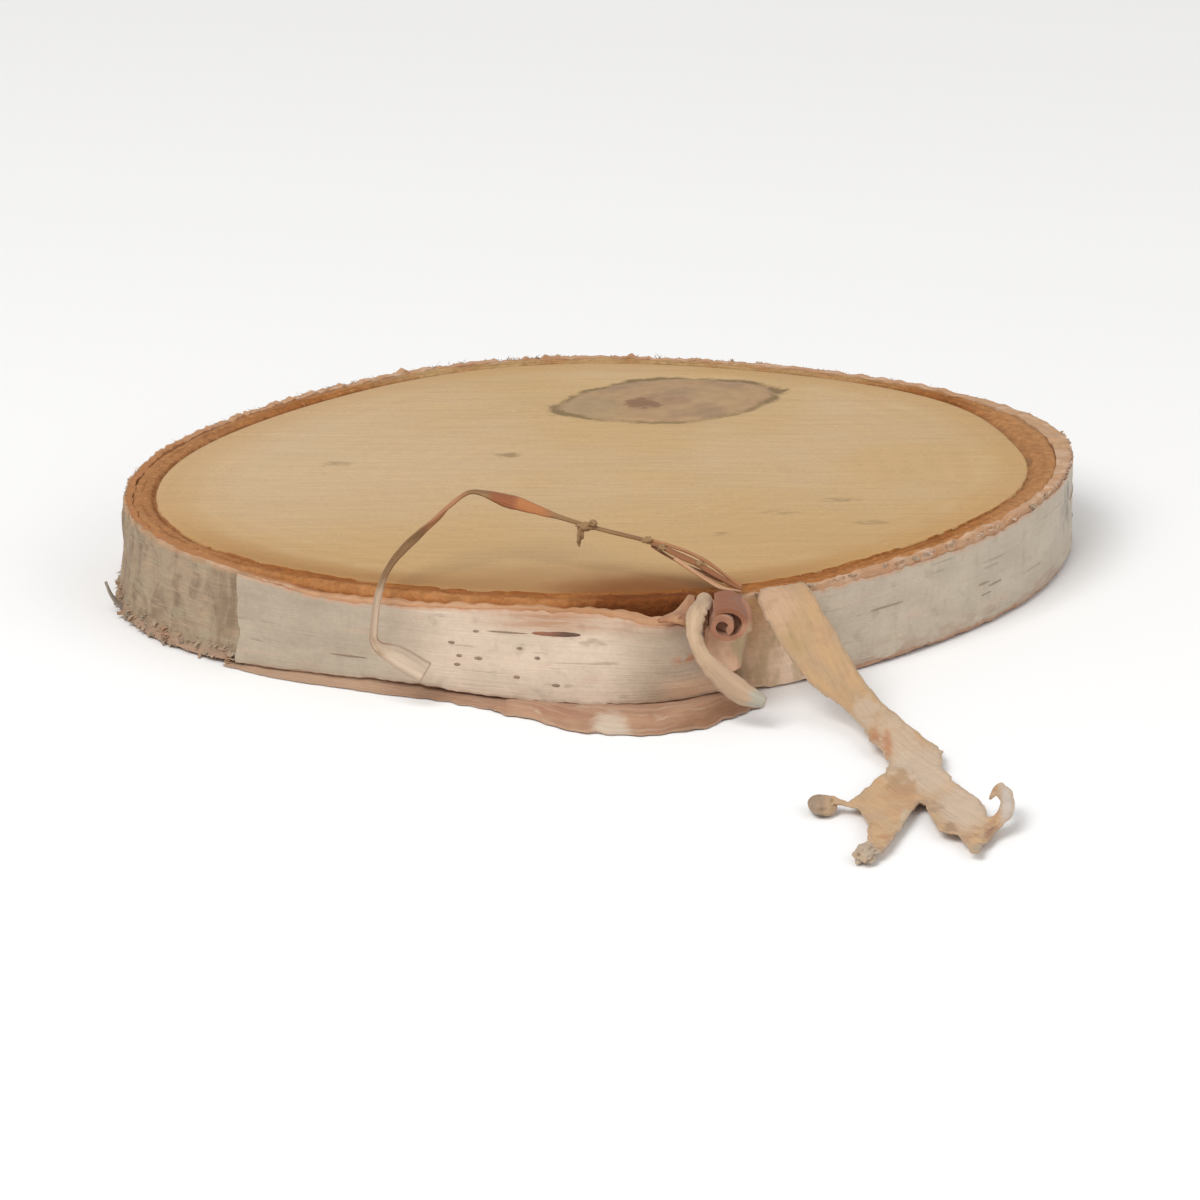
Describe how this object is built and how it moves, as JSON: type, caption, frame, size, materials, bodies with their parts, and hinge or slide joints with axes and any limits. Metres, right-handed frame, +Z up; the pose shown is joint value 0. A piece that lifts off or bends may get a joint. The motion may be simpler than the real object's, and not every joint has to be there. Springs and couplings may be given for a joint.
{
  "type": "birch wood slice",
  "caption": "Oval slice sawn across a birch branch, flat on both faces, with brown inner bark, white papery outer bark and torn bark ribbons hanging from its front rim.",
  "frame": {"origin": "middle of the sawn disc on its underside, where it rests", "axes": "+X the long way of the oval, to the right in the picture; +Y away from the viewer, towards the thin bark at the back; +Z up, out of the upper sawn face. The torn bark and its ribbons face -Y."},
  "size_m": [0.0991, 0.1264, 0.0183],
  "materials": {
    "wood": "dry sawn face, tan, with faint growth rings and a grey knot",
    "inner_bark": "sawn bast and cork, orange-brown, matt",
    "outer_bark": "papery white bark with dark dashes and a grey-brown patch, slightly silky",
    "peeled_lip": "inner side of the bark paper, pinkish brown, streaked",
    "forked_strip": "torn bark paper, peach, matt",
    "looped_strip": "torn bark ribbon, rust brown with a pale end",
    "bark_curl": "curled bark paper, cream",
    "rolled_tongue": "rolled bark paper, reddish brown"
  },
  "bodies": {
    "root": {"wood": "wood", "inner_bark": "inner_bark", "outer_bark": "outer_bark", "peeled_lip": "peeled_lip", "forked_strip": "forked_strip", "looped_strip": "looped_strip", "bark_curl": "bark_curl", "rolled_tongue": "rolled_tongue"}
  },
  "joints": []
}
